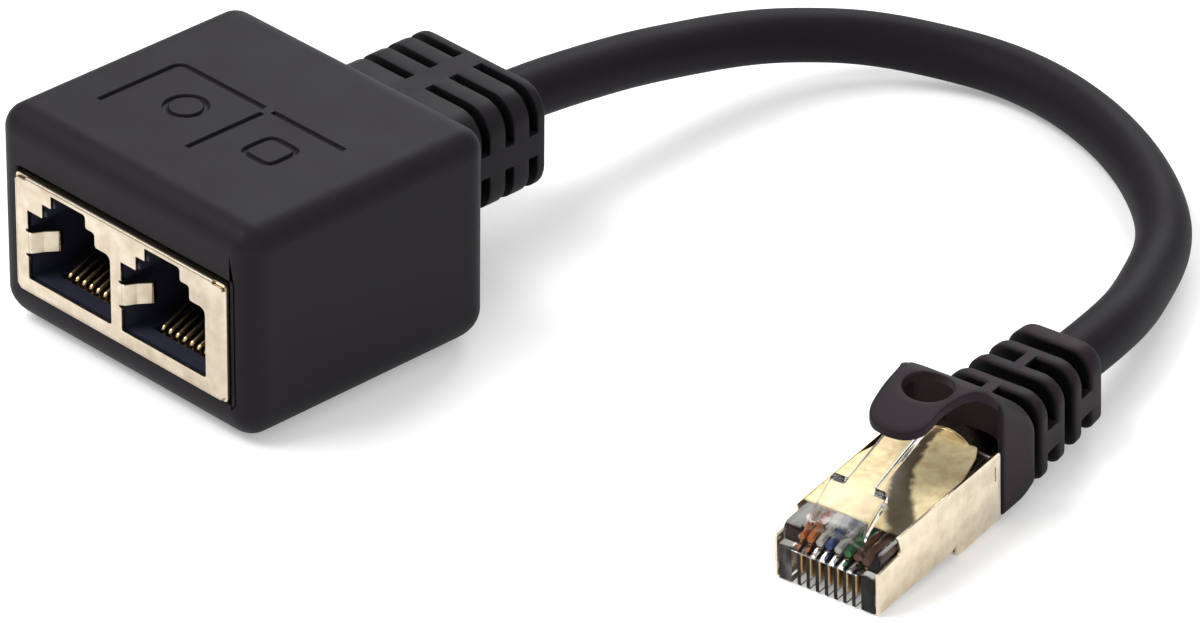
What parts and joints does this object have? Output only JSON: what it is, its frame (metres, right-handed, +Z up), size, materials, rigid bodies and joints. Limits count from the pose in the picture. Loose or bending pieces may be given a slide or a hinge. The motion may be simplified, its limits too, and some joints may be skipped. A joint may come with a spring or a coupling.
{
  "type": "splitter adapter",
  "caption": "Moulded block with a shielded double modular socket in one end and, out of the other, a short black lead that ends in a latched shielded modular plug with a boot.",
  "frame": {"origin": "middle of the block with its strain relief, seen from above, on the surface the part lies on", "axes": "-Y points out of the sockets, +Y along the strain relief, +X across the socket face to the side where the plug lies, +Z up"},
  "size_m": [0.0966, 0.1065, 0.0233],
  "materials": {
    "black_pvc": "satin black moulding with a fine grain",
    "jack_plastic": "plain black moulding",
    "plated_sheet": "thin sheet, pale champagne plating",
    "gold_contact": "gold plated",
    "board_green": "green solder mask",
    "clear_plastic": "clear moulding",
    "wire_white_orange": "coloured insulation",
    "wire_orange": "coloured insulation",
    "wire_white_green": "coloured insulation",
    "wire_blue": "coloured insulation",
    "wire_white_blue": "coloured insulation",
    "wire_green": "coloured insulation",
    "wire_white_brown": "coloured insulation",
    "wire_brown": "coloured insulation"
  },
  "bodies": {
    "adapter": {"housing": "black_pvc", "jack_shield": "plated_sheet", "jack_body": "jack_plastic", "contact_comb_left": "jack_plastic", "contact_comb_right": "jack_plastic", "circuit_board": "board_green", "cable": "black_pvc", "plug_boot": "black_pvc", "plug_shield": "plated_sheet", "plug_body": "clear_plastic", "left_contact_1": "gold_contact", "left_contact_2": "gold_contact", "left_contact_3": "gold_contact", "left_contact_4": "gold_contact", "left_contact_5": "gold_contact", "left_contact_6": "gold_contact", "left_contact_7": "gold_contact", "left_contact_8": "gold_contact", "right_contact_1": "gold_contact", "right_contact_2": "gold_contact", "right_contact_3": "gold_contact", "right_contact_4": "gold_contact", "right_contact_5": "gold_contact", "right_contact_6": "gold_contact", "right_contact_7": "gold_contact", "right_contact_8": "gold_contact", "plug_blade_1": "gold_contact", "plug_blade_2": "gold_contact", "plug_blade_3": "gold_contact", "plug_blade_4": "gold_contact", "plug_blade_5": "gold_contact", "plug_blade_6": "gold_contact", "plug_blade_7": "gold_contact", "plug_blade_8": "gold_contact", "board_wire_1": "wire_white_orange", "plug_wire_1": "wire_white_orange", "board_wire_2": "wire_orange", "plug_wire_2": "wire_orange", "board_wire_3": "wire_white_green", "plug_wire_3": "wire_white_green", "board_wire_4": "wire_blue", "plug_wire_4": "wire_blue", "board_wire_5": "wire_white_blue", "plug_wire_5": "wire_white_blue", "board_wire_6": "wire_green", "plug_wire_6": "wire_green", "board_wire_7": "wire_white_brown", "plug_wire_7": "wire_white_brown", "board_wire_8": "wire_brown", "plug_wire_8": "wire_brown"},
    "latch": {"plug_latch": "clear_plastic"}
  },
  "joints": [
    {"name": "latch_press", "type": "hinge", "parent": "adapter", "child": "latch", "pos_m": [0.07258, -0.00044, 0.007], "axis": [-0.9857, -0.1685, 0], "range_deg": [0, 12], "stiffness_Nm_per_rad": 0.08}
  ]
}
